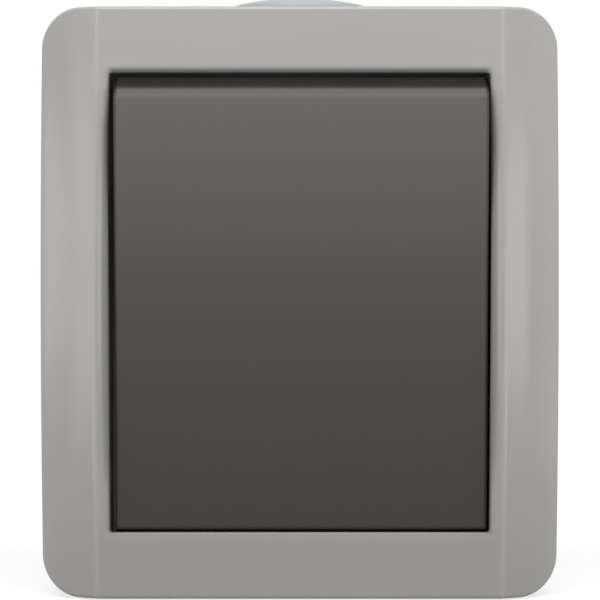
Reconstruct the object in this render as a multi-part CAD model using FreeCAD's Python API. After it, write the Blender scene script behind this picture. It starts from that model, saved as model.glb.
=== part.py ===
import FreeCAD
import Part
import math
import os
from FreeCAD import Vector

# Surface-mounted moisture-proof two-way switch.
# +X is right, +Z is up, the wall is the plane y = 0 and the front faces -Y.
# A depth is a distance from the wall, so the point at depth d has y = -d.

# Front cover
cover_corner = 5.1
cover_wall = 1.8
cover_overlap = 4.0
crest_fall = 3.4
wing_width = 7.35
ridge_round = 0.5
wing_fall = 6.0
wing_start_angle = 24.0
cover_edge_round = 0.5
wing_thickness = 2.0

# Opening in the cover and the well behind it
opening_band = 1.6
end_band = 8.42
opening_corner = 0.5
opening_lip_round = 0.9
lip_overhang = 1.82
well_wall = 1.3
floor_above_pivot = 6.2
well_floor_thickness = 2.0
well_roof_drop = 4.3

# Box on the wall
rim_step = 1.2
box_wall = 2.0
box_back = 2.0
cover_clearance = 0.3
wall_slot_spacing = 52.0
wall_slot_length = 8.0
wall_slot_radius = 2.2
pillar_radius = 3.6
cover_screw_x = 17.5
pillar_gap = 1.9
screw_to_opening = 6.58
screw_clearance = 0.05
seal_thickness = 1.0
seal_width = 1.4
seal_overlap = 2.2

# Cable gland in the top wall of the box
gland_radius = 9.0
gland_neck_radius = 7.5
gland_height = 4.9
gland_shoulder = 0.8
gland_crown = 0.9
gland_steps = 3
gland_skin = 1.2
gland_flange = 1.2
gland_fit = 0.05
tab_reach = 12.4
tab_half_width = 3.0
tab_thickness = 0.9
knockout_radius = 8.0
knockout_groove = 0.6

# Rocker, drawn level and then tilted into its rest position
rocker_side_gap = 0.52
rocker_end_gap = 1.51
rocker_side_shift = 0.2
rocker_inset = 1.9
rocker_arch = 0.6
rocker_skin = 1.8
skirt_height = 5.4
skirt_clearance = 3.5
rocker_wall = 1.6
rocker_edge_round = 0.3
rocker_side_draft = 1.0
rocker_end_slope = 19.4
rocker_tilt = 4.6
rib_thickness = 1.0
rib_height = 1.6
rib_x = 12.0
rib_z = 18.0

# Toggle that carries the rocker
pivot_rise = 2.0
pin_radius = 1.2
running_clearance = 0.05
hub_radius = 2.4
hub_inset = 5.2
hub_side_clearance = 0.2
cheek_thickness = 2.2
plate_half_height = 8.0
plate_thickness = 1.3
hook_thickness = 1.2
hook_half_width = 3.0
hook_clearance = 0.15
hook_barb = 0.75
hook_length = 2.3
neck_radius = 3.2
neck_share = 0.55
bore_above_pivot = 6.0
neck_clearance = 0.15

# Sprung plunger
plunger_radius = 1.8
plunger_tip_radius = 0.6
plunger_guide_length = 7.5
spring_wire = 0.3
spring_turns = 4
spring_wire_sides = 6

# See-saw contact lever and contacts
lever_rise = 4.8
lever_gap = 0.1
lever_thickness = 0.8
lever_half_width = 2.5
lever_tilt = 5.0
contact_inset = 8.0
lever_overhang = 2.0
moving_contact_radius = 1.4
fixed_contact_radius = 1.6
contact_thickness = 0.8
contact_gap = 0.05
knife_gap = 0.05
knife_half_base = 1.0

# Terminals
strip_thickness = 1.0
strip_half_width = 1.8
block_half = 3.0
block_gap = 3.5
block_inset = 6.0
wire_bore_radius = 1.5
wire_bore_share = 0.45
terminal_screw_radius = 1.25
terminal_head_radius = 1.9
terminal_head_height = 1.2
terminal_screw_neck = 1

# Switch insert
insert_half_width = 18.0
insert_half_height = 17.0
insert_depth = 13.0
boss_height = 5.0
insert_floor = 2.5
insert_wall = 2.0
insert_plate = 2.5
barrier_gap = 2.5
barrier_thickness = 1.0
part_clearance = 0.2
edge_margin = 1
turret_half_height = 7.0
turret_rise = 2.5
ear_length = 8.0
ear_half_height = 4.0
box_play = 2.9
boss_radius = 3.6

# Fasteners
insert_screw_radius = 1.5
insert_screw_length = 7.0
insert_head_radius = 2.8
insert_head_height = 1.8
cover_screw_radius = 1.6
cover_screw_length = 16.0
cover_head_radius = 3.0
cover_head_height = 2.0
slot_width = 0.7
slot_share = 0.5

# Worked out from the sizes above: depths, from the wall to the front
insert_back_depth = box_back + boss_height
insert_floor_depth = insert_back_depth + insert_floor
insert_front_depth = insert_back_depth + insert_depth
plate_top_depth = insert_front_depth + insert_plate
turret_top_depth = plate_top_depth + turret_rise
pivot_depth = turret_top_depth + pivot_rise
well_floor_depth = pivot_depth + floor_above_pivot
well_back_depth = well_floor_depth - well_floor_thickness
box_depth = well_back_depth - rim_step
ledge_depth = box_depth + seal_thickness
cover_back_depth = box_depth - cover_overlap
gland_depth = cover_back_depth - gland_radius
rocker_skirt_depth = well_floor_depth + skirt_clearance
rocker_edge_depth = rocker_skirt_depth + skirt_height
rocker_underside_depth = rocker_edge_depth - rocker_skin
hook_depth = rocker_underside_depth - hook_length
crest_depth = rocker_edge_depth + rocker_inset
well_roof_depth = crest_depth - well_roof_drop
wing_inside_depth = crest_depth - wing_fall - 2 * wing_thickness

# Worked out: widths and heights, from the insert outwards
boss_x = insert_half_width + ear_length / 2
box_inner_x = insert_half_width + ear_length + box_play
cover_half_width = box_inner_x + box_wall + cover_clearance + cover_wall
ridge_half_width = cover_half_width - wing_width
opening_half_width = ridge_half_width - opening_band
rocker_half_width = opening_half_width - rocker_side_gap
cover_screw_z = insert_half_height + pillar_radius + pillar_gap
opening_half_height = cover_screw_z + screw_to_opening
well_half_height = opening_half_height + lip_overhang
rocker_half_height = opening_half_height - rocker_end_gap
cover_half_height = opening_half_height + end_band
contact_offset = insert_half_height - contact_inset
block_x = insert_half_width - block_inset
barrier_x = lever_half_width + barrier_gap
hub_half_length = block_x - hub_inset
lever_half_length = contact_offset + lever_overhang
arch_radius = (cover_half_height ** 2 + crest_fall ** 2) / (2 * crest_fall)
box_half_width = cover_half_width - cover_wall - cover_clearance
box_half_height = cover_half_height - cover_wall - cover_clearance
box_corner = cover_corner - cover_wall - cover_clearance
turret_inner_x = hub_half_length + hub_side_clearance
turret_half_width = turret_inner_x + cheek_thickness
turret_inner_z = turret_half_height - insert_wall
tilt_slope = math.sin(math.radians(rocker_tilt))
bore_radius = plunger_radius + running_clearance
pin_hole_radius = pin_radius + running_clearance
toggle_plate_depth = rocker_underside_depth
lever_pivot_depth = insert_floor_depth + lever_rise
plunger_reach = pivot_depth - lever_pivot_depth - lever_thickness - lever_gap - plunger_radius
neck_end_depth = pivot_depth - neck_share * plunger_reach
bore_end_depth = pivot_depth + bore_above_pivot
plunger_back_depth = neck_end_depth + plunger_guide_length
block_height = insert_depth - insert_floor - block_gap
wire_bore_height = wire_bore_share * (block_height - strip_thickness)
strip_front_depth = insert_floor_depth + strip_thickness
block_front_depth = insert_floor_depth + block_height
terminal_places = {"common": (-1, 0.0), "one": (1, contact_offset), "two": (1, -contact_offset)}


def at(x, depth, z):
    return Vector(x, -depth, z)


def block(x0, x1, depth0, depth1, z0, z1):
    """A rectangular solid between two places in x, depth and z."""
    size = (x1 - x0, depth1 - depth0, z1 - z0)
    return Part.makeBox(size[0], size[1], size[2], at(x0, depth1, z0))


def rod(radius, x, z, depth0, depth1):
    """A round rod square to the wall."""
    return Part.makeCylinder(radius, depth1 - depth0, at(x, depth0, z), Vector(0, -1, 0))


def cross_rod(radius, x0, x1, depth, z):
    """A round rod along X."""
    return Part.makeCylinder(radius, x1 - x0, at(x0, depth, z), Vector(1, 0, 0))


def rounded_outline(half_width, half_height, radius, depth):
    """A rectangle with round corners, at one depth."""
    straight_x = half_width - radius
    straight_z = half_height - radius
    bulge = radius * math.sqrt(0.5)
    edges = []
    corners = [(1, 1), (1, -1), (-1, -1), (-1, 1)]
    for index, (side_x, side_z) in enumerate(corners):
        first = at(side_x * straight_x, depth, side_z * half_height)
        middle = at(side_x * (straight_x + bulge), depth, side_z * (straight_z + bulge))
        last = at(side_x * half_width, depth, side_z * straight_z)
        if side_x * side_z < 0:
            first, last = last, first
        edges.append(Part.Arc(first, middle, last).toShape())
        next_x, next_z = corners[(index + 1) % 4]
        if next_x == side_x:
            start = at(side_x * half_width, depth, side_z * straight_z)
            end = at(side_x * half_width, depth, next_z * straight_z)
        else:
            start = at(side_x * straight_x, depth, side_z * half_height)
            end = at(next_x * straight_x, depth, side_z * half_height)
        edges.append(Part.LineSegment(start, end).toShape())
    return Part.Wire(Part.__sortEdges__(edges))


def rounded_block(half_width, half_height, radius, depth0, depth1):
    face = Part.Face(rounded_outline(half_width, half_height, radius, depth0))
    return face.extrude(Vector(0, depth0 - depth1, 0))


def tilted(shape, depth, angle):
    """The shape turned about the X line at this depth and height zero."""
    turned = shape.copy()
    turned.rotate(at(0, depth, 0), Vector(1, 0, 0), angle)
    return turned


def fillet_where(solid, radius, wanted):
    """Rounds the edges that the test picks."""
    edges = [edge for edge in solid.Edges if wanted(edge)]
    return solid.makeFillet(radius, edges)


def air_before_cover():
    """The space in front of the cover's face.

    The section has a level band between two ridges and a round wing on each side.
    It is swept up and down round a far axis behind the wall, so that the face is arched.
    """
    start = math.radians(wing_start_angle)
    setback = ridge_round * math.tan(start / 2)
    ridge_x = ridge_half_width + setback * math.cos(start)
    ridge_depth = crest_depth - setback * math.sin(start)
    edge_depth = crest_depth - wing_fall
    chord_angle = math.atan2(ridge_depth - edge_depth, cover_half_width - ridge_x)
    chord = math.hypot(ridge_depth - edge_depth, cover_half_width - ridge_x)
    wing_radius = chord / (2 * math.sin(chord_angle - start))
    centre_x = ridge_x - wing_radius * math.sin(start)
    centre_depth = ridge_depth - wing_radius * math.cos(start)
    past_edge = math.radians(12)
    finish = 2 * chord_angle - start + past_edge
    level_x = ridge_half_width - setback

    def on_wing(angle, side):
        x = centre_x + wing_radius * math.sin(angle)
        return at(side * x, centre_depth + wing_radius * math.cos(angle), 0)

    def on_ridge(angle, side):
        x = level_x + ridge_round * math.sin(angle)
        return at(side * x, crest_depth - ridge_round * (1 - math.cos(angle)), 0)

    edges = [Part.LineSegment(at(-level_x, crest_depth, 0), at(level_x, crest_depth, 0)).toShape()]
    for side in (-1, 1):
        ridge = Part.Arc(on_ridge(0, side), on_ridge(start / 2, side), on_ridge(start, side))
        edges.append(ridge.toShape())
        wing = Part.Arc(on_wing(start, side), on_wing((start + finish) / 2, side), on_wing(finish, side))
        edges.append(wing.toShape())
    outside_x = 2 * cover_half_width
    front_depth = crest_depth + cover_half_height
    low_depth = centre_depth + wing_radius * math.cos(finish)
    corners = [
        on_wing(finish, 1),
        at(outside_x, low_depth, 0),
        at(outside_x, front_depth, 0),
        at(-outside_x, front_depth, 0),
        at(-outside_x, low_depth, 0),
        on_wing(finish, -1),
    ]
    for first, last in zip(corners, corners[1:]):
        edges.append(Part.LineSegment(first, last).toShape())
    section = Part.Face(Part.Wire(Part.__sortEdges__(edges)))
    axis = at(0, crest_depth - arch_radius, 0)
    half_sweep = 1.5 * math.degrees(math.asin(cover_half_height / arch_radius))
    section.rotate(axis, Vector(1, 0, 0), -half_sweep)
    return section.revolve(axis, Vector(1, 0, 0), 2 * half_sweep)


def is_wall(face):
    """Whether a face stands square to the wall plane."""
    u0, u1, v0, v1 = face.ParameterRange
    return abs(face.normalAt((u0 + u1) / 2, (v0 + v1) / 2).y) < 1e-3


def cover_screw_places():
    return [(-cover_screw_x, cover_screw_z), (cover_screw_x, -cover_screw_z)]


def make_front_cover():
    front = crest_depth + edge_margin
    blank = rounded_block(cover_half_width, cover_half_height, cover_corner, cover_back_depth, front)
    blank = blank.cut(air_before_cover())

    def on_front_edge(edge):
        if -edge.CenterOfMass.y < cover_back_depth + edge_margin:
            return False
        owners = [face for face in blank.Faces if any(edge.isSame(other) for other in face.Edges)]
        return sum(1 for face in owners if is_wall(face)) == 1

    blank = fillet_where(blank, cover_edge_round, on_front_edge)
    skirt = rounded_block(
        cover_half_width - cover_wall,
        cover_half_height - cover_wall,
        cover_corner - cover_wall,
        cover_back_depth,
        ledge_depth,
    )
    ledge = cover_wall + cover_clearance + box_wall
    inner_x = cover_half_width - ledge
    inner_z = cover_half_height - ledge
    roof_depth = crest_depth - crest_fall - wing_thickness
    corners = [
        at(-inner_x, ledge_depth, -inner_z),
        at(-inner_x, wing_inside_depth, -inner_z),
        at(-ridge_half_width, roof_depth, -inner_z),
        at(ridge_half_width, roof_depth, -inner_z),
        at(inner_x, wing_inside_depth, -inner_z),
        at(inner_x, ledge_depth, -inner_z),
        at(-inner_x, ledge_depth, -inner_z),
    ]
    behind_wings = Part.Face(Part.makePolygon(corners)).extrude(Vector(0, 0, 2 * inner_z))
    well = rounded_block(
        opening_half_width + well_wall,
        well_half_height + well_wall,
        opening_corner + well_wall,
        well_back_depth,
        front,
    )
    shell = blank.cut(skirt.fuse(behind_wings.cut(well)))
    inside = rounded_block(
        opening_half_width, well_half_height, opening_corner, well_floor_depth, well_roof_depth
    )
    opening = rounded_block(
        opening_half_width, opening_half_height, opening_corner, well_floor_depth, front
    )
    shell = shell.cut(inside.fuse(opening))

    def on_lip(edge):
        centre = edge.CenterOfMass
        box = edge.BoundBox
        inside_x = max(abs(box.XMin), abs(box.XMax)) < opening_half_width + 0.01
        inside_z = max(abs(box.ZMin), abs(box.ZMax)) < opening_half_height + 0.01
        owners = [face for face in shell.Faces if any(edge.isSame(other) for other in face.Edges)]
        one_wall = sum(1 for face in owners if is_wall(face)) == 1
        return inside_x and inside_z and one_wall and -centre.y > crest_depth - wing_thickness

    shell = fillet_where(shell, opening_lip_round, on_lip)
    hole_x = hub_half_length + cover_clearance
    hole_z = plate_half_height + cover_clearance
    shell = shell.cut(block(-hole_x, hole_x, well_back_depth, well_floor_depth, -hole_z, hole_z))
    for x, z in cover_screw_places():
        hole = rod(cover_screw_radius + cover_clearance, x, z, well_back_depth, well_floor_depth)
        shell = shell.cut(hole)
    return shell.removeSplitter()


def make_back_box():
    shell = rounded_block(box_half_width, box_half_height, box_corner, 0, box_depth)
    inner = rounded_block(
        box_half_width - box_wall,
        box_half_height - box_wall,
        box_corner - box_wall,
        box_back,
        box_depth,
    )
    shell = shell.cut(inner)
    for x, z in cover_screw_places():
        shell = shell.fuse(rod(pillar_radius, x, z, box_back, well_back_depth))
    for side in (-1, 1):
        shell = shell.fuse(rod(boss_radius, side * boss_x, 0, box_back, insert_back_depth))
    for x, z in cover_screw_places():
        hole_back = well_floor_depth - cover_screw_length
        shell = shell.cut(rod(cover_screw_radius + screw_clearance, x, z, hole_back, well_back_depth))
    for side in (-1, 1):
        hole_back = insert_floor_depth - insert_screw_length
        hole = rod(insert_screw_radius + screw_clearance, side * boss_x, 0, hole_back, insert_back_depth)
        shell = shell.cut(hole)
    half_straight = wall_slot_length / 2 - wall_slot_radius
    for side in (-1, 1):
        centre_z = side * wall_slot_spacing / 2
        slot_foot = centre_z - half_straight
        slot_top = centre_z + half_straight
        slot = block(-wall_slot_radius, wall_slot_radius, 0, box_back, slot_foot, slot_top)
        for end in (-1, 1):
            slot = slot.fuse(rod(wall_slot_radius, 0, centre_z + end * half_straight, 0, box_back))
        shell = shell.cut(slot)
    top = at(0, gland_depth, box_half_height - box_wall)
    shell = shell.cut(Part.makeCylinder(gland_neck_radius, box_wall, top, Vector(0, 0, 1)))
    groove_base = at(0, gland_depth, -box_half_height)
    groove = Part.makeCylinder(knockout_radius, knockout_groove, groove_base, Vector(0, 0, 1))
    core_radius = knockout_radius - knockout_groove
    core = Part.makeCylinder(core_radius, knockout_groove, groove_base, Vector(0, 0, 1))
    shell = shell.cut(groove.cut(core))
    return shell.removeSplitter()


def make_box_seal():
    """A flat rubber ring between the rim of the box and the ledge of the cover."""
    edge = (box_wall - seal_width) / 2
    outside = rounded_block(
        box_half_width - edge, box_half_height - edge, box_corner - edge, box_depth, ledge_depth
    )
    inset = edge + seal_width
    inside = rounded_block(
        box_half_width - inset, box_half_height - inset, box_corner - inset, box_depth, ledge_depth
    )
    return outside.cut(inside)


def make_neck_seal():
    """A rubber sheet behind the floor of the well, with a hole for the toggle's neck."""
    reach_x = hub_half_length + cover_clearance + seal_overlap
    reach_z = plate_half_height + cover_clearance + seal_overlap
    back = well_back_depth - seal_thickness
    sheet = block(-reach_x, reach_x, back, well_back_depth, -reach_z, reach_z)
    swing = (well_back_depth - pivot_depth) * tilt_slope
    return sheet.cut(rod(neck_radius + swing + neck_clearance, 0, 0, back, well_back_depth))


def make_cable_gland():
    """A soft closed gland: flange inside, neck in the wall and a flat dome outside."""
    inner_z = box_half_height - box_wall - gland_flange
    outer_z = box_half_height
    crown_z = outer_z + gland_height
    shoulder_z = crown_z - gland_crown
    wall_top = shoulder_z - gland_shoulder
    flat_radius = gland_radius - gland_shoulder
    neck = gland_neck_radius - gland_fit
    bore = neck - gland_skin

    def place(radius, z):
        return Vector(radius, -gland_depth, z)

    points = [
        place(0, shoulder_z - gland_skin),
        place(bore, shoulder_z - gland_skin),
        place(bore, inner_z),
        place(gland_radius, inner_z),
        place(gland_radius, inner_z + gland_flange),
        place(neck, inner_z + gland_flange),
        place(neck, outer_z),
        place(gland_radius, outer_z),
    ]
    for step in range(gland_steps):
        turn = math.pi / 2 * step / (gland_steps - 1)
        shoulder_radius = flat_radius + gland_shoulder * math.cos(turn)
        points.append(place(shoulder_radius, wall_top + gland_shoulder * math.sin(turn)))
    for step in range(1, gland_steps + 1):
        share = 1 - step / gland_steps
        points.append(place(flat_radius * share, shoulder_z + gland_crown * (1 - share ** 2)))
    face = Part.Face(Part.makePolygon(points + [points[0]]))
    body = face.revolve(Vector(0, -gland_depth, 0), Vector(0, 0, 1), 360)
    tab = block(
        bore + gland_skin / 2,
        tab_reach,
        gland_depth - tab_half_width,
        gland_depth + tab_half_width,
        wall_top - tab_thickness,
        wall_top,
    )
    return body.fuse(tab).removeSplitter()


def make_rocker():
    """The key: an arched plate with a skirt, ribs and two hooks, drawn level."""
    rise = crest_depth - rocker_skirt_depth
    side_spread = rise * math.tan(math.radians(rocker_side_draft))
    end_spread = rise * math.tan(math.radians(rocker_end_slope))
    face_rise = rocker_edge_depth - rocker_skirt_depth
    base_x = rocker_half_width + face_rise * math.tan(math.radians(rocker_side_draft))
    base_z = rocker_half_height + face_rise * math.tan(math.radians(rocker_end_slope))

    def frame_at(half_width, half_height, depth):
        corners = [(-1, -1), (1, -1), (1, 1), (-1, 1), (-1, -1)]
        shift = rocker_side_shift
        return Part.makePolygon([at(shift + x * half_width, depth, z * half_height) for x, z in corners])

    blank = Part.makeLoft(
        [
            frame_at(base_x, base_z, rocker_skirt_depth),
            frame_at(base_x - side_spread, base_z - end_spread, crest_depth),
        ],
        True,
    )
    arch = (rocker_half_height ** 2 + rocker_arch ** 2) / (2 * rocker_arch)
    far_x = 2 * rocker_half_width
    crown = Part.makeCylinder(
        arch, 2 * far_x, at(-far_x, rocker_edge_depth + rocker_arch - arch, 0), Vector(1, 0, 0)
    )
    blank = blank.common(crown)

    above_skirt = rocker_skirt_depth + edge_margin
    blank = fillet_where(blank, rocker_edge_round, lambda edge: -edge.CenterOfMass.y > above_skirt)
    hollow = Part.makeLoft(
        [
            frame_at(base_x - rocker_wall, base_z - rocker_wall, rocker_skirt_depth),
            frame_at(
                rocker_half_width - rocker_wall, rocker_half_height - rocker_wall, rocker_underside_depth
            ),
        ],
        True,
    )
    shell = blank.cut(hollow)
    rib_back = rocker_underside_depth - rib_height
    skin = rocker_underside_depth + rocker_arch
    reach_z = rocker_half_height - rocker_wall / 2
    reach_x = rocker_half_width - rocker_wall / 2
    for side in (-1, 1):
        rib = block(
            side * rib_x - rib_thickness / 2,
            side * rib_x + rib_thickness / 2,
            rib_back,
            skin,
            -reach_z,
            reach_z,
        )
        cross = block(
            rocker_side_shift - reach_x,
            rocker_side_shift + reach_x,
            rib_back,
            skin,
            side * rib_z - rib_thickness / 2,
            side * rib_z + rib_thickness / 2,
        )
        shell = shell.fuse(rib).fuse(cross)
    inner = plate_half_height + hook_clearance
    under = toggle_plate_depth - plate_thickness - hook_clearance
    for side in (-1, 1):
        low, high = sorted((side * inner, side * (inner + hook_thickness)))
        arm = block(-hook_half_width, hook_half_width, hook_depth, skin, low, high)
        low, high = sorted((side * (inner - hook_barb), side * (inner + hook_thickness)))
        barb = block(-hook_half_width, hook_half_width, hook_depth, under, low, high)
        shell = shell.fuse(arm).fuse(barb)
    return tilted(shell.removeSplitter(), pivot_depth, rocker_tilt)


def make_toggle():
    """The carrier under the rocker: plate, bored neck and hub with two pins."""
    body = cross_rod(hub_radius, -hub_half_length, hub_half_length, pivot_depth, 0)
    plate = block(
        -hub_half_length,
        hub_half_length,
        toggle_plate_depth - plate_thickness,
        toggle_plate_depth,
        -plate_half_height,
        plate_half_height,
    )
    pin_end = turret_half_width - hub_side_clearance
    pins = cross_rod(pin_radius, -pin_end, pin_end, pivot_depth, 0)
    neck = rod(neck_radius, 0, 0, neck_end_depth, toggle_plate_depth)
    body = body.fuse(plate).fuse(neck).fuse(pins)
    bore = rod(bore_radius, 0, 0, neck_end_depth, bore_end_depth)
    return tilted(body.cut(bore).removeSplitter(), pivot_depth, rocker_tilt)


def make_plunger():
    tip_depth = pivot_depth - plunger_reach
    pin = rod(plunger_radius, 0, 0, tip_depth, plunger_back_depth)
    tip = Part.makeCone(
        plunger_radius, plunger_tip_radius, plunger_radius, at(0, tip_depth, 0), Vector(0, 1, 0)
    )
    return tilted(pin.fuse(tip).removeSplitter(), pivot_depth, rocker_tilt)


def make_plunger_spring():
    """A coil spring between the plunger and the end of the toggle's bore."""
    length = bore_end_depth - plunger_back_depth - 2 * spring_wire
    radius = plunger_radius - 2 * spring_wire
    helix = Part.makeHelix(length / spring_turns, length, radius)
    corners = []
    for index in range(spring_wire_sides + 1):
        angle = 2 * math.pi * index / spring_wire_sides
        corners.append(Vector(radius + spring_wire * math.cos(angle), 0, spring_wire * math.sin(angle)))
    section = Part.makePolygon(corners)
    coil = Part.Wire(helix.Edges).makePipeShell([section], True, True)
    coil.rotate(Vector(0, 0, 0), Vector(1, 0, 0), 90)
    coil.translate(at(0, plunger_back_depth + spring_wire, 0))
    return tilted(coil, pivot_depth, rocker_tilt)


def make_contact_lever():
    """The see-saw strip that joins the common terminal to one fixed contact."""
    back = lever_pivot_depth
    strip = block(
        -lever_half_width,
        lever_half_width,
        back,
        back + lever_thickness,
        -lever_half_length,
        lever_half_length,
    )
    return tilted(strip, lever_pivot_depth, -lever_tilt)


def make_moving_contact(side):
    back = lever_pivot_depth - contact_thickness
    disc = rod(moving_contact_radius, 0, side * contact_offset, back, lever_pivot_depth)
    return tilted(disc, lever_pivot_depth, -lever_tilt)


def make_fixed_contact(side):
    """A rivet whose face lies flat against the moving contact when that side is closed."""
    face_depth = lever_pivot_depth - contact_thickness - contact_gap
    rivet = rod(fixed_contact_radius, 0, side * contact_offset, strip_front_depth, lever_pivot_depth)
    reach = lever_half_length * 2
    above = block(-reach, reach, face_depth, face_depth + reach, -reach, reach)
    return rivet.cut(tilted(above, lever_pivot_depth, -side * lever_tilt))


def terminal_block(side, z):
    """A brass clamp block with a bore for the wire and its clamp screw."""
    centre_x = side * block_x
    body = block(
        centre_x - block_half,
        centre_x + block_half,
        insert_floor_depth,
        block_front_depth,
        z - block_half,
        z + block_half,
    )
    wire_depth = strip_front_depth + wire_bore_height
    low, high = sorted((centre_x - side * block_half / 2, centre_x + side * block_half))
    body = body.cut(cross_rod(wire_bore_radius, low, high, wire_depth, z))
    screw = slotted_screw(
        terminal_screw_radius,
        terminal_head_radius,
        terminal_head_height,
        terminal_screw_neck,
        centre_x,
        z,
        block_front_depth,
    )
    return body.fuse(screw)


def make_terminal(name):
    side, z = terminal_places[name]
    low, high = sorted((side * block_x, -side * strip_half_width))
    strip = block(
        low, high, insert_floor_depth, strip_front_depth, z - strip_half_width, z + strip_half_width
    )
    inner_edge = side * (block_x - block_half)
    low, high = sorted((inner_edge, -side * strip_half_width))
    inner_room = block(low, high, insert_floor_depth, strip_front_depth, z - block_half, z + block_half)
    strip = strip.common(inner_room)
    return terminal_block(side, z).fuse(strip).removeSplitter()


def make_common_terminal():
    """The middle terminal, with the upright knife edge that the lever rocks on."""
    top = lever_pivot_depth - knife_gap
    corners = [
        at(-strip_half_width, strip_front_depth, -knife_half_base),
        at(-strip_half_width, strip_front_depth, knife_half_base),
        at(-strip_half_width, top, 0),
        at(-strip_half_width, strip_front_depth, -knife_half_base),
    ]
    knife = Part.Face(Part.makePolygon(corners)).extrude(Vector(2 * strip_half_width, 0, 0))
    return make_terminal("common").fuse(knife).removeSplitter()


def slotted_screw(radius, head_radius, head_height, length, x, z, seat_depth):
    """A cheese-head screw with its head on the seat and its shank towards the wall."""
    head = rod(head_radius, x, z, seat_depth, seat_depth + head_height)
    shank = rod(radius, x, z, seat_depth - length, seat_depth)
    slot = block(
        x - head_radius,
        x + head_radius,
        seat_depth + head_height * (1 - slot_share),
        seat_depth + head_height,
        z - slot_width / 2,
        z + slot_width / 2,
    )
    return head.fuse(shank).cut(slot)


def make_insert_base():
    """The tray that holds the terminals, with two ears on the bosses of the box."""
    tray = block(
        -insert_half_width,
        insert_half_width,
        insert_back_depth,
        insert_front_depth,
        -insert_half_height,
        insert_half_height,
    )
    inner_x = insert_half_width - insert_wall
    inner_z = insert_half_height - insert_wall
    tray = tray.cut(block(-inner_x, inner_x, insert_floor_depth, insert_front_depth, -inner_z, inner_z))
    for side in (-1, 1):
        low, high = sorted((side * barrier_x, side * (barrier_x + barrier_thickness)))
        tray = tray.fuse(block(low, high, insert_floor_depth, insert_front_depth, -inner_z, inner_z))
    for name, (side, z) in terminal_places.items():
        half = strip_half_width + part_clearance
        low, high = sorted((side * barrier_x, side * (barrier_x + barrier_thickness)))
        front = strip_front_depth + part_clearance
        tray = tray.cut(block(low, high, insert_floor_depth, front, z - half, z + half))
        low, high = sorted((side * inner_x, side * insert_half_width))
        wire_depth = strip_front_depth + wire_bore_height
        tray = tray.cut(cross_rod(wire_bore_radius + part_clearance, low, high, wire_depth, z))
    for side in (-1, 1):
        low, high = sorted((side * insert_half_width, side * (insert_half_width + ear_length)))
        ear = block(low, high, insert_back_depth, insert_floor_depth, -ear_half_height, ear_half_height)
        hole_radius = insert_screw_radius + part_clearance
        hole = rod(hole_radius, side * boss_x, 0, insert_back_depth, insert_floor_depth)
        tray = tray.fuse(ear).cut(hole)
    return tray.removeSplitter()


def make_insert_cover():
    """The lid of the insert, with the turret that the toggle turns in."""
    lid = block(
        -insert_half_width,
        insert_half_width,
        insert_front_depth,
        plate_top_depth,
        -insert_half_height,
        insert_half_height,
    )
    turret = block(
        -turret_half_width,
        turret_half_width,
        insert_front_depth,
        turret_top_depth,
        -turret_half_height,
        turret_half_height,
    )
    lid = lid.fuse(turret)
    ring_radius = hub_radius - part_clearance
    for side in (-1, 1):
        low, high = sorted((side * turret_inner_x, side * turret_half_width))
        cheek = block(low, high, turret_top_depth, pivot_depth, -ring_radius, ring_radius)
        lid = lid.fuse(cheek).fuse(cross_rod(ring_radius, low, high, pivot_depth, 0))
    inside = block(
        -turret_inner_x,
        turret_inner_x,
        insert_front_depth,
        turret_top_depth,
        -turret_inner_z,
        turret_inner_z,
    )
    lid = lid.cut(inside)
    lid = lid.cut(cross_rod(pin_hole_radius, -turret_half_width, turret_half_width, pivot_depth, 0))
    for side, z in terminal_places.values():
        hole_radius = terminal_head_radius + part_clearance
        hole = rod(hole_radius, side * block_x, z, insert_front_depth, plate_top_depth)
        lid = lid.cut(hole)
    return lid.removeSplitter()


def make_insert_screw(side):
    return slotted_screw(
        insert_screw_radius,
        insert_head_radius,
        insert_head_height,
        insert_screw_length,
        side * boss_x,
        0,
        insert_floor_depth,
    )


def make_cover_screw(place):
    x, z = place
    return slotted_screw(
        cover_screw_radius, cover_head_radius, cover_head_height, cover_screw_length, x, z, well_floor_depth
    )


def build_all():
    upper, lower = cover_screw_places()
    return {
        "back_box": make_back_box(),
        "front_cover": make_front_cover(),
        "box_seal": make_box_seal(),
        "neck_seal": make_neck_seal(),
        "cable_gland": make_cable_gland(),
        "rocker": make_rocker(),
        "toggle": make_toggle(),
        "plunger": make_plunger(),
        "plunger_spring": make_plunger_spring(),
        "contact_lever": make_contact_lever(),
        "moving_contact_one": make_moving_contact(1),
        "moving_contact_two": make_moving_contact(-1),
        "fixed_contact_one": make_fixed_contact(1),
        "fixed_contact_two": make_fixed_contact(-1),
        "common_terminal": make_common_terminal(),
        "terminal_one": make_terminal("one"),
        "terminal_two": make_terminal("two"),
        "insert_base": make_insert_base(),
        "insert_cover": make_insert_cover(),
        "insert_screw_left": make_insert_screw(-1),
        "insert_screw_right": make_insert_screw(1),
        "cover_screw_upper": make_cover_screw(upper),
        "cover_screw_lower": make_cover_screw(lower),
    }


os.makedirs("parts", exist_ok=True)
for name, shape in build_all().items():
    solid = shape.Solids[0] if len(shape.Solids) == 1 else shape
    print(name, solid.ShapeType, len(solid.Solids), solid.isValid(), round(solid.Volume, 2))
    solid.exportStep("parts/" + name + ".step")
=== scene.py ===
# %% [markdown]
# # A surface-mounted two-way switch
# The object is a moisture-proof light switch: a box on the wall, a glossy grey
# front cover with sloping side wings, and one wide dark rocker in its opening.
# The shapes come ready from the CAD model, so most of this lesson is about
# plastics: how gloss, grain and edges make the same grey look moulded.

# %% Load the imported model
import math

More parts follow.
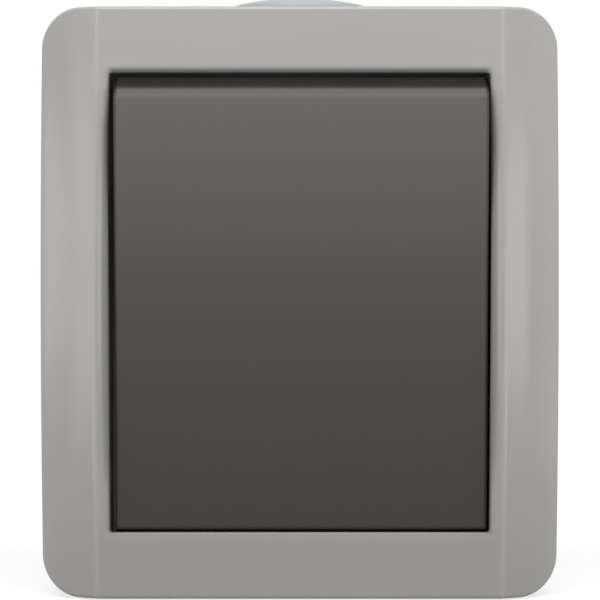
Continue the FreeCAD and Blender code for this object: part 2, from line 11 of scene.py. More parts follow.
import bpy
import bmesh
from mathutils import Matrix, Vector


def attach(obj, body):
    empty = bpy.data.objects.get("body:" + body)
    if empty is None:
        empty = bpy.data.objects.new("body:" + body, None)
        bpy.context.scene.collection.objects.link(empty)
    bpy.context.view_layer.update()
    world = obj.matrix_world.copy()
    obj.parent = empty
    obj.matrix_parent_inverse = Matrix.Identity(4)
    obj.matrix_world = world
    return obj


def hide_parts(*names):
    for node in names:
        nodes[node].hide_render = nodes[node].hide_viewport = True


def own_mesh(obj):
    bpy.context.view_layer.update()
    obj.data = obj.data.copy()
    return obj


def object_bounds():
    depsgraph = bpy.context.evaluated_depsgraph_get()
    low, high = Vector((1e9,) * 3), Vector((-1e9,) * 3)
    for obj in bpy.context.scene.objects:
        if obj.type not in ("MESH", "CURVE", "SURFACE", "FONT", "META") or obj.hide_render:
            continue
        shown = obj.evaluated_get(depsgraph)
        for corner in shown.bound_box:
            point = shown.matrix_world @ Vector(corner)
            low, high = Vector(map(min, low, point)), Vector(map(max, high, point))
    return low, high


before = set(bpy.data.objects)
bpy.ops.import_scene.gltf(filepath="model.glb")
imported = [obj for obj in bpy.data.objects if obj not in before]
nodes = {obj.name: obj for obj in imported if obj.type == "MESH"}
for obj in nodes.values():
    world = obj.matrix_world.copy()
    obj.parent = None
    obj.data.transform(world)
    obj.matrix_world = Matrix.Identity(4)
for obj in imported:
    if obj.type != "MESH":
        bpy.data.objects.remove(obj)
cad_box = [list(corner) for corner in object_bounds()]
print("pieces from the CAD model:", len(nodes))

# %% [markdown]
# Switches are drawn in millimetres, and Blender works in metres. A small
# function keeps the two apart. Its second number is the distance from the wall,
# which is how the depth of such a box is given on a drawing.

# %% Millimetres to metres, and new objects
MM = 0.001


def place(x, depth, height):
    """A point given in millimetres: x, distance from the wall, height."""
    return Vector((x * MM, -depth * MM, height * MM))


def add_object(name, data):
    """A new object in the scene, for a mesh, a lamp or a camera."""
    item = bpy.data.objects.new(name, data)
    bpy.context.scene.collection.objects.link(item)
    return item


print("front of the switch at y =", round(cad_box[0][1], 4))

# %% [markdown]
# ## The camera
# The switch was seen from straight ahead and a trifle above, from about a third
# of a metre. So near, the arched cover looks a little barrel shaped, which a
# longer lens would flatten. The camera is therefore placed at the real distance
# first, and only then is the focal length chosen to fill the picture.

# %% Camera
view_distance = 0.370
view_elevation = math.radians(1.1)
aim = place(0.04, 44.0, 0.46)
camera_data = bpy.data.cameras.new("front_camera")
camera_data.sensor_width = 36.0
camera_data.lens = 177.2
camera_data.clip_start = 0.01
camera = add_object("front_camera", camera_data)
to_camera = Vector((0, -math.cos(view_elevation), math.sin(view_elevation)))
camera.location = aim + view_distance * to_camera
camera.rotation_euler = (-to_camera).to_track_quat("-Z", "Y").to_euler()
bpy.context.scene.camera = camera
bpy.context.scene.view_settings.view_transform = "Standard"
print("camera at", [round(value, 3) for value in camera.location])

# %% [markdown]
# ## The light
# One large softbox above the front does most of the work: it makes the top of
# the cover lighter than its foot. The lower softboxes at the sides are there
# for their reflections, which show as the pale patches on the rounded wings.
# Each is given by the brightness of its face, because that is what a glossy
# surface mirrors; the power of the lamp follows from its area.

# %% Softboxes
lit_point = place(0, 40, 0)


def softbox(name, azimuth, elevation, distance, width, height, radiance):
    """A rectangular area lamp that looks at the middle of the front.

    Azimuth is measured from straight ahead towards the right, in degrees.
    """
    data = bpy.data.lights.new(name, "AREA")
    data.shape = "RECTANGLE"
    data.size = width
    data.size_y = height
    data.energy = radiance * math.pi * width * height
    lamp = add_object(name, data)
    around, up = math.radians(azimuth), math.radians(elevation)
    away = Vector((math.sin(around) * math.cos(up), -math.cos(around) * math.cos(up), math.sin(up)))
    lamp.location = lit_point + distance * away
    lamp.rotation_euler = (-away).to_track_quat("-Z", "Y").to_euler()
    print(name, "power", round(data.energy, 2), "W")
    return lamp


# Name, azimuth, elevation, distance, width and height in metres, brightness.
softbox("key_softbox", 0, 61, 0.95, 1.35, 0.80, 3.85)
softbox("left_front_softbox", -61, 2, 1.00, 0.48, 0.44, 1.85)
softbox("left_back_softbox", -92, 2, 1.00, 0.58, 0.24, 1.8)
softbox("right_softbox", 63, 2, 1.00, 0.46, 0.34, 2.6)
softbox("right_wall_glow", 98, 10, 1.00, 0.60, 0.90, 0.7)

# %% [markdown]
# The dark rocker is a case of its own. It leans forward, so it mirrors what lies
# ahead and below, and it is nearly black, so almost all that one sees of it is
# sheen. A wide panel a little above the camera gives that sheen, bright at the
# top of the key and fading towards its foot. Light linking keeps the panel off
# the glossy cover, where it would leave a hard white patch.

# %% Sheen panel for the rocker
sheen_receivers = bpy.data.collections.new("sheen_receivers")
sheen_receivers.objects.link(nodes["rocker"])
sheen_panel = softbox("sheen_panel", 0, 10, 0.95, 1.05, 0.36, 9.5)
sheen_panel.light_linking.receiver_collection = sheen_receivers

# %% [markdown]
# ## Shader nodes in one line
# Shaders are built from many small Math and Map Range nodes. These helpers make
# one node each and hand back its output, so that a chain of nodes reads like a
# formula. A value may be a number, which is written into the socket, or the
# output of another node, which is linked to it.

# %% Helpers for shader nodes
def feed(tree, socket, value):
    """Links a socket to another node's output, or sets it to a constant."""
    if isinstance(value, bpy.types.NodeSocket):
        tree.links.new(value, socket)
    else:
        socket.default_value = value


def maths(tree, operation, *values):
    """One Math node."""
    node = tree.nodes.new("ShaderNodeMath")
    node.operation = operation
    for socket, value in zip(node.inputs, values):
        feed(tree, socket, value)
    return node.outputs[0]


def product(tree, first, *others):
    """All the values multiplied with one another."""
    for other in others:
        first = maths(tree, "MULTIPLY", first, other)
    return first


def ramp(tree, value, start, end, low=0.0, high=1.0):
    """Low up to start, high from end on, and a straight line between them."""
    node = tree.nodes.new("ShaderNodeMapRange")
    names = ("Value", "From Min", "From Max", "To Min", "To Max")
    for name, number in zip(names, (value, start, end, low, high)):
        feed(tree, node.inputs[name], number)
    return node.outputs["Result"]


def new_material(name):
    """A material with its node tree and its Principled shader."""
    material = bpy.data.materials.new(name)
    material.use_nodes = True
    return material, material.node_tree, material.node_tree.nodes["Principled BSDF"]


print("node helpers ready")

# %% [markdown]
# ## The surroundings
# The background is plain white. A white world at full strength would wash out
# the object, so the world has two strengths: one for what the camera and the
# reflections see, and a lower one for the light that it throws on the surfaces.

# %% World
def sees_background(tree):
    """1 for camera, mirror and see-through rays, and 0 for the rest."""
    path = tree.nodes.new("ShaderNodeLightPath")
    direct = maths(tree, "MAXIMUM", path.outputs["Is Camera Ray"], path.outputs["Is Glossy Ray"])
    return maths(tree, "MAXIMUM", direct, path.outputs["Is Transmission Ray"])


fill_level = 0.155
world = bpy.data.worlds.new("white_room")
bpy.context.scene.world = world
world.use_nodes = True
background = world.node_tree.nodes["Background"]
background.inputs["Color"].default_value = (1, 1, 1, 1)
seen = sees_background(world.node_tree)
strength = ramp(world.node_tree, seen, 0.0, 1.0, fill_level, 1.0)
feed(world.node_tree, background.inputs["Strength"], strength)
print("world fill level", fill_level)

# %% [markdown]
# ## The floor
# The floor is a pale matt sheet that catches the shadow. Its own brightness for
# the camera is lifted with a little emission until the lit parts are white; the
# shadow stays, because it only takes away the diffuse part. It is a small sheet,
# so that it doesn't hide the side softboxes from the lower half of the wings.

# %% Floor
floor_height = cad_box[0][2] - 0.0002
half_floor, floor_front, floor_back = 0.14, -0.16, 0.22
paper_tone, paper_glow = 0.3, 0.76
floor_mesh = bpy.data.meshes.new("floor")
floor_mesh.from_pydata(
    [
        (-half_floor, floor_front, floor_height),
        (half_floor, floor_front, floor_height),
        (half_floor, floor_back, floor_height),
        (-half_floor, floor_back, floor_height),
    ],
    [],
    [(0, 1, 2, 3)],
)
floor = add_object("floor", floor_mesh)
floor_paper, tree, shader = new_material("floor_paper")
shader.inputs["Base Color"].default_value = (paper_tone, paper_tone, paper_tone, 1)
shader.inputs["Roughness"].default_value = 0.9
shader.inputs["Specular IOR Level"].default_value = 0.0
shader.inputs["Emission Color"].default_value = (1, 1, 1, 1)
feed(tree, shader.inputs["Emission Strength"], product(tree, sees_background(tree), paper_glow))
floor_mesh.materials.append(floor_paper)
print("floor at", round(floor_height, 4))

# %% [markdown]
# ## Shared effects
# Moulded plastic is never quite even. Three effects come back in every material
# here, so each is a node group that is made once: a fine grain from the mould,
# a slow drift of shade across the piece, and the few specks of dust that settle
# on a switch. A group only gives values and colours; the shader stays in the
# material, where the gloss of each plastic is set.

# %% Helpers for node groups
FLOAT, COLOR, VECTOR = "NodeSocketFloat", "NodeSocketColor", "NodeSocketVector"


def new_group(name, inputs, outputs):
    """An empty shader node group with named sockets."""
    group = bpy.data.node_groups.new(name, "ShaderNodeTree")
    for socket_name, kind, value in inputs:
        socket = group.interface.new_socket(socket_name, in_out="INPUT", socket_type=kind)
        socket.default_value = value
    for socket_name, kind in outputs:
        group.interface.new_socket(socket_name, in_out="OUTPUT", socket_type=kind)
    entry = group.nodes.new("NodeGroupInput")
    leave = group.nodes.new("NodeGroupOutput")
    return group, entry.outputs, leave.inputs


def object_noise(group, scale, detail, offset):
    """Noise in the object's own space, so that it stays on a piece that moves."""
    coordinates = group.nodes.new("ShaderNodeTexCoord")
    mapping = group.nodes.new("ShaderNodeMapping")
    mapping.inputs["Location"].default_value = offset
    noise = group.nodes.new("ShaderNodeTexNoise")
    noise.inputs["Detail"].default_value = detail
    feed(group, mapping.inputs["Vector"], coordinates.outputs["Object"])
    feed(group, noise.inputs["Vector"], mapping.outputs["Vector"])
    feed(group, noise.inputs["Scale"], scale)
    return noise.outputs["Fac"]


print("group helpers ready")

# %% [markdown]
# ### Mould grain
# A mould is spark-eroded or blasted, and its fine pits come back on the plastic.
# They are one noise that is used twice: as a height for the bump, and spread
# between two roughness values, because a pitted spot also scatters more light.

# %% Mould grain
noise_low, noise_high = 0.3, 0.7
grain_group, entry, leave = new_group(
    "mould_grain",
    [("Grains per Metre", FLOAT, 3000.0), ("Rough Low", FLOAT, 0.3), ("Rough High", FLOAT, 0.4)],
    [("Height", FLOAT), ("Roughness", FLOAT)],
)
grain = object_noise(grain_group, entry["Grains per Metre"], 2.0, (0.31, 0.17, 0.05))
feed(grain_group, leave["Height"], grain)
feed(
    grain_group, leave["Roughness"],
    ramp(grain_group, grain, noise_low, noise_high, entry["Rough Low"], entry["Rough High"]),
)
print(grain_group.name, len(grain_group.nodes), "nodes")

# %% [markdown]
# ### Drift of shade
# Pigment never mixes quite evenly, and handling leaves a faint film. So the
# colour is made a few percent lighter and darker in patches some centimetres
# wide. The noise is centred on zero first, so that the mean colour stays.

# %% Drift of shade
patches_per_metre = 35.0
drift_group, entry, leave = new_group(
    "shade_drift",
    [("Color", COLOR, (0.5, 0.5, 0.5, 1)), ("Patches per Metre", FLOAT, patches_per_metre),
     ("Amount", FLOAT, 0.05)],
    [("Color", COLOR)],
)
patches = object_noise(drift_group, entry["Patches per Metre"], 3.0, (0.7, 0.2, 0.9))
centred = maths(drift_group, "SUBTRACT", patches, 0.5)
tint = drift_group.nodes.new("ShaderNodeVectorMath")
tint.operation = "SCALE"
feed(drift_group, tint.inputs[0], entry["Color"])
feed(drift_group, tint.inputs["Scale"], maths(drift_group, "MULTIPLY_ADD", centred, entry["Amount"], 1.0))
feed(drift_group, leave["Color"], tint.outputs[0])
print(drift_group.name, len(drift_group.nodes), "nodes")

# %% [markdown]
# ### Specks
# A Voronoi texture gives the distance to the nearest of many scattered points.
# Only where that distance is very small is the colour mixed towards dust grey,
# which leaves single round specks and nothing between them.

# %% Specks
specks_per_metre, speck_size = 70.0, 0.03
dust_grey = (0.12, 0.115, 0.105, 1)
speck_group, entry, leave = new_group(
    "dust_specks",
    [("Color", COLOR, (0.5, 0.5, 0.5, 1)), ("Cells per Metre", FLOAT, specks_per_metre),
     ("Size", FLOAT, speck_size), ("Strength", FLOAT, 0.1)],
    [("Color", COLOR)],
)
coordinates = speck_group.nodes.new("ShaderNodeTexCoord")
cells = speck_group.nodes.new("ShaderNodeTexVoronoi")
feed(speck_group, cells.inputs["Vector"], coordinates.outputs["Object"])
feed(speck_group, cells.inputs["Scale"], entry["Cells per Metre"])
near = ramp(speck_group, cells.outputs["Distance"], 0.0, entry["Size"], 1.0, 0.0)
dusty = speck_group.nodes.new("ShaderNodeMix")
dusty.data_type = "RGBA"
feed(speck_group, dusty.inputs["Factor"], product(speck_group, near, entry["Strength"]))
feed(speck_group, dusty.inputs["A"], entry["Color"])
feed(speck_group, dusty.inputs["B"], dust_grey)
feed(speck_group, leave["Color"], dusty.outputs["Result"])
print(speck_group.name, len(speck_group.nodes), "nodes")

# %% [markdown]
# ## Rounds that are finer than the mesh
# Some rounds on the switch are only tenths of a millimetre wide, and one sees
# them by how they catch the light. In place of more faces, the normal is bent
# there. The normal is taken into the object's own space, where up is up and the
# front is the front, changed, and turned back into world space at the end. So
# the effect moves with the piece.

# %% Helpers for bent normals
def split(group, vector):
    """The X, Y and Z of a vector."""
    node = group.nodes.new("ShaderNodeSeparateXYZ")
    feed(group, node.inputs["Vector"], vector)
    return node.outputs["X"], node.outputs["Y"], node.outputs["Z"]


def turn_normal(group, vector, source, target):
    """A normal taken from one space into another."""
    node = group.nodes.new("ShaderNodeVectorTransform")
    node.vector_type, node.convert_from, node.convert_to = "NORMAL", source, target
    feed(group, node.inputs["Vector"], vector)
    return node.outputs["Vector"]


def where_and_normal(group, normal):
    """The place on the piece and the normal there, both in the object's space."""
    coordinates = group.nodes.new("ShaderNodeTexCoord")
    where = split(group, coordinates.outputs["Object"])
    return where, split(group, turn_normal(group, normal, "WORLD", "OBJECT"))


def give_normal(group, parts, socket):
    """Puts a normal together from X, Y and Z and gives it out in world space."""
    joined = group.nodes.new("ShaderNodeCombineXYZ")
    for part_socket, part in zip(joined.inputs, parts):
        feed(group, part_socket, part)
    unit = group.nodes.new("ShaderNodeVectorMath")
    unit.operation = "NORMALIZE"
    feed(group, unit.inputs[0], turn_normal(group, joined.outputs["Vector"], "OBJECT", "WORLD"))
    feed(group, socket, unit.outputs["Vector"])


print("normal helpers ready")

# %% [markdown]
# ### The rolled upper edge of the key
# The key ends at the top in a slope that rolls out of its face. Bare, the flat
# slope would mirror the key softbox as one even grey band. So most of its upward
# tilt is taken away first, which lets it start in the same tone as the face, and
# then it is turned away from the sheen panel bit by bit, until it is dark at
# the gap.

# %% Rolled upper edge of the key
slope_foot = (0.0256, 0.0260)  # heights between which the slope begins
slope_roll = (0.0263, 0.0282)  # heights between which it turns away from the light
roll_group, entry, leave = new_group(
    "rolled_upper_edge",
    [("Normal", VECTOR, (0, 0, 1)), ("Upward Share", FLOAT, 0.1), ("Turn Away", FLOAT, 0.3)],
    [("Normal", VECTOR)],
)
(_, _, height), (x, y, z) = where_and_normal(roll_group, entry["Normal"])
taken = maths(roll_group, "SUBTRACT", 1.0, entry["Upward Share"])
lost = product(roll_group, ramp(roll_group, height, *slope_foot), taken)
z = product(roll_group, z, maths(roll_group, "SUBTRACT", 1.0, lost))
away = product(roll_group, ramp(roll_group, height, *slope_roll), entry["Turn Away"])
z = maths(roll_group, "SUBTRACT", z, away)
give_normal(roll_group, (x, y, z), leave["Normal"])
print(roll_group.name, len(roll_group.nodes), "nodes")

# %% [markdown]
# ### The lips and folds of the cover
# The opening has a lip all round. Above and below it is crisp and stays as light
# as the face, at the sides it rolls softly inwards and gets darker towards the
# key. The two folds, where the wings begin, catch a thin line of light from
# above. Each effect has a mask made of ramps over the place on the cover.

# %% Masks on the cover
in_opening = (0.0258, 0.0254)  # half width of the upper and lower lips, faded out
lip_outside = (0.0312, 0.0306)  # half height at which they end
lip_inside = (0.0283, 0.0290)  # half height at which they begin
near_front = (0.0395, 0.0403)  # distance from the wall of the lip's front
fold_inside, fold_outside = (0.0252, 0.0256), (0.0262, 0.0258)
fold_front = (0.036, 0.037)
side_roll = (0.0258, 0.0242)  # half width over which the side lips roll in
side_half_height, side_power = 0.024, 4.0
crisp_tilt = 0.17
lip_group, entry, leave = new_group(
    "soft_lips",
    [("Normal", VECTOR, (0, 0, 1)), ("Crispness", FLOAT, 0.8), ("Roll In", FLOAT, 1.0),
     ("Fold Lift", FLOAT, 0.1)],
    [("Normal", VECTOR)],
)
(side, depth, height), (x, y, z) = where_and_normal(lip_group, entry["Normal"])
aside, aloft = maths(lip_group, "ABSOLUTE", side), maths(lip_group, "ABSOLUTE", height)
from_wall = product(lip_group, depth, -1.0)
in_front = ramp(lip_group, from_wall, *near_front)
on_lip = product(
    lip_group, ramp(lip_group, aside, *in_opening), ramp(lip_group, aloft, *lip_outside),
    ramp(lip_group, aloft, *lip_inside), in_front,
)
on_fold = product(
    lip_group, ramp(lip_group, aside, *fold_inside), ramp(lip_group, aside, *fold_outside),
    ramp(lip_group, from_wall, *fold_front),
)
ends = maths(lip_group, "POWER", maths(lip_group, "DIVIDE", aloft, side_half_height), side_power)
along_side = maths(lip_group, "MAXIMUM", maths(lip_group, "SUBTRACT", 1.0, ends), 0.0)
on_side = product(lip_group, ramp(lip_group, aside, *side_roll), along_side, in_front)
print("masks for the lips and the folds")

# %% Bend the cover's normal
crisp = product(lip_group, on_lip, entry["Crispness"])
flat_z = product(lip_group, maths(lip_group, "SIGN", height), crisp_tilt)
z = product(lip_group, z, maths(lip_group, "SUBTRACT", 1.0, crisp))
z = maths(lip_group, "MULTIPLY_ADD", crisp, flat_z, z)
z = maths(lip_group, "MULTIPLY_ADD", on_fold, entry["Fold Lift"], z)
inwards = product(lip_group, maths(lip_group, "SIGN", side), -1.0)
x = maths(lip_group, "MULTIPLY_ADD", product(lip_group, on_side, entry["Roll In"]), inwards, x)
give_normal(lip_group, (x, y, z), leave["Normal"])
print(lip_group.name, len(lip_group.nodes), "nodes")

# %% [markdown]
# ## A recipe for moulded plastic
# Every plastic of the switch is the same recipe with other amounts: a colour
# that drifts a little, perhaps a few specks, a roughness that follows the
# grain, and a bump so shallow that it only breaks up the reflections. No edge
# leaves a mould perfectly sharp, so the cover and the key also get a Bevel
# node, which rounds the normal across an edge without changing the mesh. It
# comes first, then the bent normal, and the grain lies on top of both. Constant
# numbers such as the index of refraction are set on the shader's own sockets.

# %% Moulded plastic
def add_group(tree, group, **values):
    """Puts a node group in a material and feeds its named inputs."""
    node = tree.nodes.new("ShaderNodeGroup")
    node.node_tree = group
    for key, value in values.items():
        feed(tree, node.inputs[key.replace("_", " ")], value)
    return node.outputs


def surface_normal(tree, edge_round, bend, amounts):
    """The normal with rounded edges, bent by a group where one is given."""
    rounding = tree.nodes.new("ShaderNodeBevel")
    rounding.samples = 6
    rounding.inputs["Radius"].default_value = edge_round
    return add_group(tree, bend, Normal=rounding.outputs["Normal"], **amounts)["Normal"]


def moulded(name, color, rough, grains, bump_height, drift, specks=0.0,
            specular=0.5, metallic=0.0, edge_round=0.0, bend=None, **amounts):
    """A material from the shared effects.

    Rough is its low and high roughness, and bend a group for the normal of a
    piece with rounded edges. The amounts are that group's named inputs.
    """
    material, tree, shader = new_material(name)
    shader.inputs["IOR"].default_value = 1.5
    shader.inputs["Specular IOR Level"].default_value = specular
    shader.inputs["Metallic"].default_value = metallic
    drifted = add_group(
        tree, drift_group, Color=(*color, 1), Patches_per_Metre=patches_per_metre, Amount=drift
    )
    speckled = add_group(
        tree, speck_group, Color=drifted["Color"], Cells_per_Metre=specks_per_metre,
        Size=speck_size, Strength=specks,
    )
    grained = add_group(
        tree, grain_group, Grains_per_Metre=grains, Rough_Low=rough[0], Rough_High=rough[1]
    )
    bump = tree.nodes.new("ShaderNodeBump")
    bump.inputs["Strength"].default_value = 1.0
    bump.inputs["Distance"].default_value = bump_height
    feed(tree, bump.inputs["Height"], grained["Height"])
    if bend is not None:
        feed(tree, bump.inputs["Normal"], surface_normal(tree, edge_round, bend, amounts))
    feed(tree, shader.inputs["Base Color"], speckled["Color"])
    feed(tree, shader.inputs["Roughness"], grained["Roughness"])
    feed(tree, shader.inputs["Normal"], bump.outputs["Normal"])
    print(name, "grain of", round(1000 / grains, 2), "mm")
    return material


def dress(material, *names):
    """Gives CAD nodes a material in place of their plain one."""
    for name in names:
        slots = nodes[name].data.materials
        slots.clear()
        slots.append(material)
    print(material.name, "on", ", ".join(names))


# %% [markdown]
# ## The grey cover and box
# The cover is a light warm grey, polished in the mould, and its reflections
# have slightly soft ends. The box behind it is the same grey with a matt grain,
# as such boxes have, because it is handled with tools and scratches would show
# on gloss.

# %% Cover and box
cover_plastic = moulded(
    "glossy_grey_plastic", (0.420, 0.407, 0.381), rough=(0.20, 0.24), grains=1400.0,
    bump_height=0.0000003, drift=0.03, specks=0.12, edge_round=0.0002,
    bend=lip_group, Crispness=0.80, Roll_In=1.5, Fold_Lift=0.09,
)
dress(cover_plastic, "front_cover")
box_plastic = moulded(
    "grained_grey_plastic", (0.39, 0.378, 0.35), rough=(0.46, 0.58), grains=2600.0,
    bump_height=0.000012, drift=0.05,
)
dress(box_plastic, "back_box")

# %% [markdown]
# ## The dark rocker
# The key is anthracite with a very fine spark-eroded grain. That grain is far
# too small to see, but it spreads the mirror image of the sheen panel over the
# whole key, and the image fades from its top to its foot. The colour below is
# therefore nearly black, with a low specular level: the grey that one sees is
# light, not paint, and it changes when the key is tilted the other way.

# %% Rocker
rocker_plastic = moulded(
    "satin_anthracite_plastic", (0.0135, 0.0104, 0.0080), rough=(0.32, 0.38), grains=3200.0,
    bump_height=0.000002, drift=0.06, specular=0.31, edge_round=0.0005,
    bend=roll_group, Upward_Share=0.08, Turn_Away=0.27,
)
dress(rocker_plastic, "rocker")

# %% [markdown]
# ## Inside the switch
# These pieces are hidden while the switch is closed, but they move with the
# key and can be looked at one by one. The insert is a cream insulating plastic,
# matt and heat-proof; the carrier is a pale slippery one, because it has to turn
# in the insert without grease. The seals are black rubber, soft and dull.

# %% Inner plastics and seals
insert_plastic = moulded(
    "cream_insulating_plastic", (0.72, 0.71, 0.66), rough=(0.5, 0.62), grains=1800.0,
    bump_height=0.00001, drift=0.06,
)
dress(insert_plastic, "insert_base", "insert_cover")
toggle_plastic = moulded(
    "slippery_pale_plastic", (0.62, 0.62, 0.60), rough=(0.34, 0.44), grains=1600.0,
    bump_height=0.000005, drift=0.05,
)
dress(toggle_plastic, "toggle")
seal_rubber = moulded(
    "black_seal_rubber", (0.03, 0.03, 0.032), rough=(0.6, 0.78), grains=1200.0,
    bump_height=0.00003, drift=0.15,
)
dress(seal_rubber, "box_seal", "neck_seal")

# %% [markdown]
# The metals use the same recipe, with the metallic value at one, so that the
# colour tints the reflections. Stamped brass has the coarsest grain and drifts
# most, since it tarnishes; the silver of the contacts and the plating of the
# screws and the spring stay brighter.

# %% Metals
terminal_brass = moulded(
    "stamped_brass", (0.72, 0.53, 0.26), rough=(0.28, 0.42), grains=900.0,
    bump_height=0.000008, drift=0.12, specks=0.1, metallic=1.0,
)
dress(terminal_brass, "contact_lever", "common_terminal", "terminal_one", "terminal_two")
contact_silver = moulded(
    "turned_silver", (0.80, 0.79, 0.76), rough=(0.2, 0.34), grains=2200.0,
    bump_height=0.000006, drift=0.06, specks=0.1, metallic=1.0,
)
dress(
    contact_silver, "moving_contact_one", "moving_contact_two", "fixed_contact_one",
    "fixed_contact_two",
)
plated_steel = moulded(
    "bright_plated_steel", (0.60, 0.61, 0.62), rough=(0.25, 0.38), grains=1500.0,
    bump_height=0.000006, drift=0.08, metallic=1.0,
)
dress(
    plated_steel, "plunger", "plunger_spring", "insert_screw_left", "insert_screw_right",
    "cover_screw_upper", "cover_screw_lower",
)

# %% [markdown]
# ## The cable gland
# The soft grommet in the top wall looks over the edge of the cover. It is a
# turned shape: a flange inside the box, a groove that grips the wall, and a
# flat dome outside that is pierced when the cable goes in. A lathe is the
# natural way to make it: the half section is drawn once and spun round.

# %% Half section of the gland
gland_depth = 17.0
wall_inside, wall_outside = 33.4, 35.4
flange_radius, neck_radius, bore_radius = 9.0, 7.45, 6.25
flange_foot, flange_round, seat_round = 32.2, 0.3, 0.2
crown_height, crown_rise, crown_skin, shoulder_round = 40.3, 0.9, 1.2, 0.8
shoulder_height = crown_height - crown_rise
flat_radius = flange_radius - shoulder_round
dome_steps = 14


def arc_points(centre, radius, start, end, count):
    """Points on a circle arc, angles in degrees from level."""
    points = []
    for index in range(count + 1):
        angle = math.radians(start + (end - start) * index / count)
        points.append((centre[0] + radius * math.cos(angle), centre[1] + radius * math.sin(angle)))
    return points


rim_centre = flange_radius - flange_round
bore_roof = shoulder_height - crown_skin
section = [(0.0, bore_roof), (bore_radius, bore_roof), (bore_radius, flange_foot)]
section += arc_points((rim_centre, flange_foot + flange_round), flange_round, -90, 0, 4)
section += arc_points((rim_centre, wall_inside - flange_round), flange_round, 0, 90, 4)
section += [(neck_radius, wall_inside), (neck_radius, wall_outside)]
section += arc_points((flange_radius - seat_round, wall_outside + seat_round), seat_round, -90, 0, 3)
section += arc_points((flat_radius, shoulder_height - shoulder_round), shoulder_round, 0, 90, 8)
for index in range(1, dome_steps + 1):
    share = 1 - index / dome_steps
    section.append((flat_radius * share, shoulder_height + crown_rise * (1 - share ** 2)))
print("half section of", len(section), "points")

# %% [markdown]
# A bmesh is Blender's editable mesh. The section becomes a chain of edges in it,
# the spin operator turns the chain round an upright line, and the two ends of
# the turn are merged, so that the skin is closed.

# %% Spin the half section
def object_from(shape, name):
    """Turns a bmesh into an object in the scene, its faces looking outwards."""
    bmesh.ops.recalc_face_normals(shape, faces=shape.faces)
    mesh = bpy.data.meshes.new(name)
    shape.to_mesh(mesh)
    shape.free()
    return add_object(name, mesh)


def lathe(name, profile, depth, steps):
    """Spins a half section, in millimetres, round an upright line."""
    shape = bmesh.new()
    chain = [shape.verts.new(place(radius, depth, height)) for radius, height in profile]
    edges = [shape.edges.new(pair) for pair in zip(chain, chain[1:])]
    bmesh.ops.spin(
        shape, geom=chain + edges, cent=place(0, depth, 0), axis=(0, 0, 1), angle=2 * math.pi,
        steps=steps, use_duplicate=False,
    )
    bmesh.ops.remove_doubles(shape, verts=shape.verts, dist=0.000002)
    return object_from(shape, name)


gland = lathe("gland_body", section, gland_depth, steps=96)
print("gland faces", len(gland.data.polygons))

# %% [markdown]
# The little tab beside the dome is what a fitter pulls to turn the grommet. It
# is a thin strip with round corners: an outline is filled, thickened, and its
# edges are bevelled so that they catch the light as soft rubber does.

# %% Pull tab
def rounded_strip(name, x_range, depth_range, z_range, corner, edge_round):
    """A flat strip with two round corners at its far end and rounded edges."""
    near_x, far_x = x_range
    low, high = depth_range
    outline = [(near_x, low), (near_x, high)]
    outline += arc_points((far_x - corner, high - corner), corner, 90, 0, 6)
    outline += arc_points((far_x - corner, low + corner), corner, 0, -90, 6)
    shape = bmesh.new()
    face = shape.faces.new([shape.verts.new(place(x, depth, z_range[0])) for x, depth in outline])
    raised = bmesh.ops.extrude_face_region(shape, geom=[face])
    top = [item for item in raised["geom"] if isinstance(item, bmesh.types.BMVert)]
    bmesh.ops.translate(shape, verts=top, vec=(0, 0, (z_range[1] - z_range[0]) * MM))
    piece = object_from(shape, name)
    bevel = piece.modifiers.new("soft_edges", "BEVEL")
    bevel.width = edge_round * MM
    bevel.segments = 3
    bevel.limit_method = "ANGLE"
    bevel.angle_limit = math.radians(50)
    return piece


tab_x, tab_depth, tab_height = (6.85, 12.4), (14.0, 20.0), (37.7, 38.6)
tab = rounded_strip("gland_tab", tab_x, tab_depth, tab_height, corner=0.8, edge_round=0.2)
print("the tab reaches x =", tab_x[1], "mm")

# %% [markdown]
# The grommet is pale blue-grey rubber. Its roughness is higher than the cover's,
# which sets it apart although the two are nearly as light. Shading is smooth
# except where faces meet at more than 40 degrees, so the groove stays sharp.

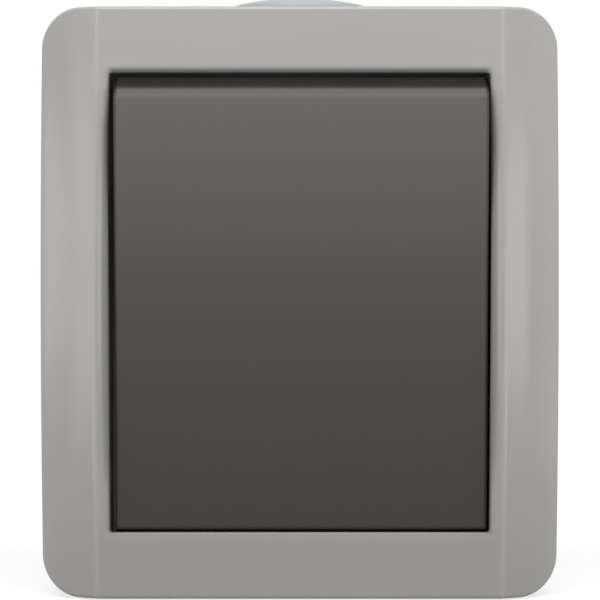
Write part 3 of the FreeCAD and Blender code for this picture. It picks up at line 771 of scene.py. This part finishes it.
# %% Gland material and place
gland_rubber = moulded(
    "pale_gland_rubber", (0.372, 0.392, 0.424), rough=(0.42, 0.56), grains=1500.0,
    bump_height=0.00001, drift=0.05,
)
for piece in (gland, tab):
    piece.data.materials.append(gland_rubber)
    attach(piece, "housing")
with bpy.context.temp_override(object=gland, active_object=gland, selected_objects=[gland, tab],
                               selected_editable_objects=[gland, tab]):
    bpy.ops.object.shade_smooth_by_angle(angle=math.radians(40))
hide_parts("cable_gland")
print("gland rides on the housing")

# %% [markdown]
# ## The spring behind the plunger
# Inside the key's stem a small coil spring presses the plunger against the
# contact lever. When the plunger gives way, a real spring gets shorter, which a
# rigid piece can't do. Here the coil is drawn as a round wire that winds along
# the stem, and it rides on the key at one fixed length.

# %% Round wire along a helix
key_tilt = math.radians(4.6)
along = Vector((0, -math.cos(key_tilt), -math.sin(key_tilt)))
sideways = Vector((1, 0, 0))
upwards = sideways.cross(along)
key_pivot = place(0, 27.0, 0)
coil_radius, wire_radius, coil_turns = 1.2, 0.3, 4
coil_start, coil_end, bore_end = 2.34, 5.68, 6.0
steps_per_turn, wire_sides = 24, 10
coil_steps = steps_per_turn * coil_turns


def coil_ring(step):
    """The points round the wire at one step along the helix."""
    share = step / coil_steps
    angle = 2 * math.pi * coil_turns * share
    outwards = math.cos(angle) * sideways + math.sin(angle) * upwards
    centre = (coil_start + share * (coil_end - coil_start)) * along + coil_radius * outwards
    points = []
    for corner in range(wire_sides):
        turn = 2 * math.pi * corner / wire_sides
        offset = wire_radius * (math.cos(turn) * outwards + math.sin(turn) * along)
        points.append(key_pivot + MM * (centre + offset))
    return points


print("wire of", coil_steps + 1, "rings")

# %% Coil spring
wire = bmesh.new()
rings = [[wire.verts.new(point) for point in coil_ring(step)] for step in range(coil_steps + 1)]
for before, after in zip(rings, rings[1:]):
    for corner in range(wire_sides):
        other = (corner + 1) % wire_sides
        wire.faces.new((before[corner], before[other], after[other], after[corner]))
wire.faces.new(rings[0])
wire.faces.new(list(reversed(rings[-1])))
spring = object_from(wire, "coil_spring")
for face in spring.data.polygons:
    face.use_smooth = len(face.vertices) == 4
spring.data.materials.append(plated_steel)
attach(spring, "rocker")
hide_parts("plunger_spring")
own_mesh(spring)
print("spring faces", len(spring.data.polygons))
